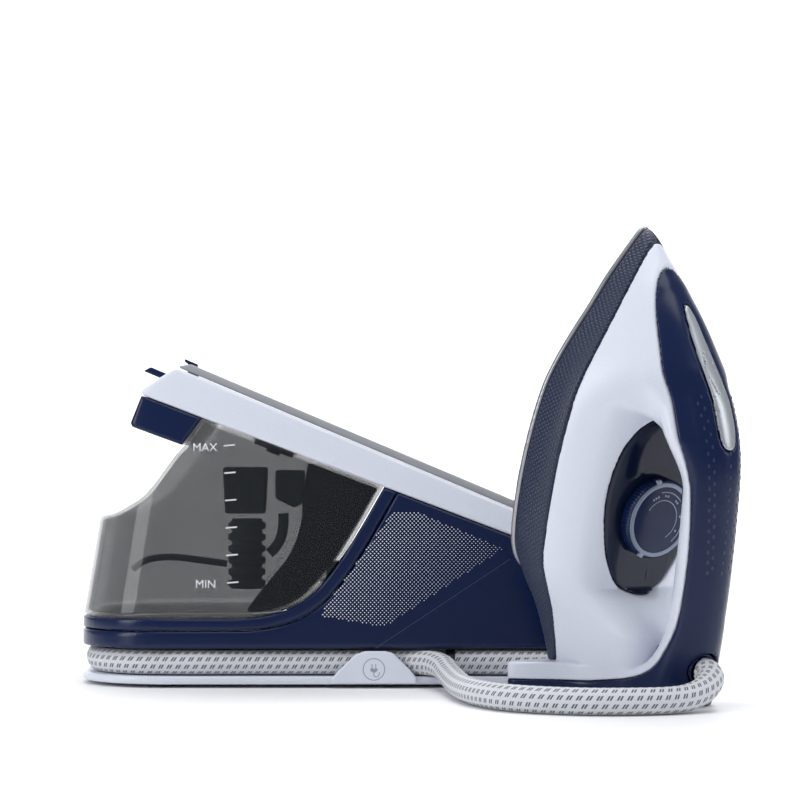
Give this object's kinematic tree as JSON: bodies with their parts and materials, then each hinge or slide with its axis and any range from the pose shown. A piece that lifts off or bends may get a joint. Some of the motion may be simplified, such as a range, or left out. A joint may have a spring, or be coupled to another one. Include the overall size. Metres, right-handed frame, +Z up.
{
  "type": "steam generator iron",
  "caption": "Steam generator iron: base station with a smoke water tank and sloped rest, iron standing on its heel beside it, and a woven steam hose wrapped round the base.",
  "frame": {"origin": "on the floor, under the middle of the box round the base station and the standing iron, without the hose", "axes": "+X along the base station from its tank end to its control end, -Y from the base towards the iron, +Z up"},
  "size_m": [0.4212, 0.4129, 0.2946],
  "materials": {
    "foot": "matt grey rubber",
    "white_plastic": "glossy cool white moulding",
    "navy_plastic": "glossy navy moulding",
    "dark_navy_plastic": "very dark glossy navy moulding",
    "rest_mat": "matt light grey heat resistant mat",
    "tank_smoke": "clear smoke grey moulding",
    "black_plastic": "matt black moulding",
    "silver_plastic": "satin silver grey moulding",
    "cast_aluminium": "bare casting",
    "sole_metal": "polished grey coated sole",
    "steel": "bare steel",
    "brass": "bare brass",
    "circuit_board": "green board with dark components",
    "woven_hose": "white woven sleeve with grey dashes"
  },
  "bodies": {
    "base": {"foot_1": "foot", "foot_2": "foot", "foot_3": "foot", "foot_4": "foot", "foot_5": "foot", "foot_6": "foot", "bottom_tray": "white_plastic", "hose_clip": "white_plastic", "hose_gland": "black_plastic", "base_housing": "navy_plastic", "rest_frame": "white_plastic", "rest_mat": "rest_mat", "control_panel": "dark_navy_plastic", "mains_gland": "black_plastic", "boiler": "cast_aluminium", "boiler_thermostat": "black_plastic", "steam_valve": "brass", "water_pump": "black_plastic", "control_board": "circuit_board", "tank_socket": "foot", "feed_tube": "foot", "hose_wrap": "woven_hose", "hose_lead": "woven_hose"},
    "tank": {"tank_shell": "tank_smoke", "tank_collar": "navy_plastic", "tank_grip": "navy_plastic", "tank_stopper": "foot", "tank_spigot": "black_plastic", "tank_partition": "black_plastic", "filter_cartridge": "black_plastic", "cartridge_cap": "black_plastic", "outlet_block": "black_plastic", "suction_tube": "black_plastic", "intake_hose": "black_plastic"},
    "iron": {"soleplate": "sole_metal", "steam_chamber": "cast_aluminium", "chamber_lid": "cast_aluminium", "heating_element": "steel", "skirt": "navy_plastic", "body_shell": "white_plastic", "deck_panel": "dark_navy_plastic", "handle_shell": "navy_plastic", "handle_inlay": "silver_plastic", "handle_liner": "white_plastic", "trigger_switch": "black_plastic", "heel_plate": "navy_plastic", "hose_collar": "navy_plastic", "inner_steam_tube": "foot", "thermostat": "steel", "thermostat_shaft": "steel"},
    "lock": {"lock_slider": "navy_plastic"},
    "dial": {"dial_knob": "navy_plastic", "dial_ring": "silver_plastic"},
    "steam_trigger": {"trigger": "dark_navy_plastic"},
    "power_switch": {"power_button": "silver_plastic"},
    "eco_switch": {"eco_button": "silver_plastic"}
  },
  "joints": [
    {"name": "iron_lift", "type": "slide", "parent": "base", "child": "iron", "axis": [0, 0, 1], "range_m": [0, 0.12]},
    {"name": "tank_slide", "type": "slide", "parent": "base", "child": "tank", "axis": [-1, 0, 0], "range_m": [0, 0.2]},
    {"name": "lock_slide", "type": "slide", "parent": "base", "child": "lock", "axis": [0.9216, 0, -0.388], "range_m": [0, 0.008]},
    {"name": "dial_turn", "type": "hinge", "parent": "iron", "child": "dial", "pos_m": [0.15962, -0.1294, 0.11371], "axis": [0.565, -0.7777, -0.2756], "range_deg": [0, 270]},
    {"name": "trigger_pull", "type": "hinge", "parent": "iron", "child": "steam_trigger", "pos_m": [0.18003, -0.15749, 0.15317], "axis": [-0.809, -0.5878, 0], "range_deg": [0, 5], "stiffness_Nm_per_rad": 0.4, "springref_deg": -2.86},
    {"name": "power_press", "type": "slide", "parent": "base", "child": "power_switch", "axis": [-1, 0, 0], "range_m": [0, 0.0015], "stiffness_N_per_m": 300, "springref_m": -0.001},
    {"name": "eco_press", "type": "slide", "parent": "base", "child": "eco_switch", "axis": [-1, 0, 0], "range_m": [0, 0.0015], "stiffness_N_per_m": 300, "springref_m": -0.001}
  ]
}
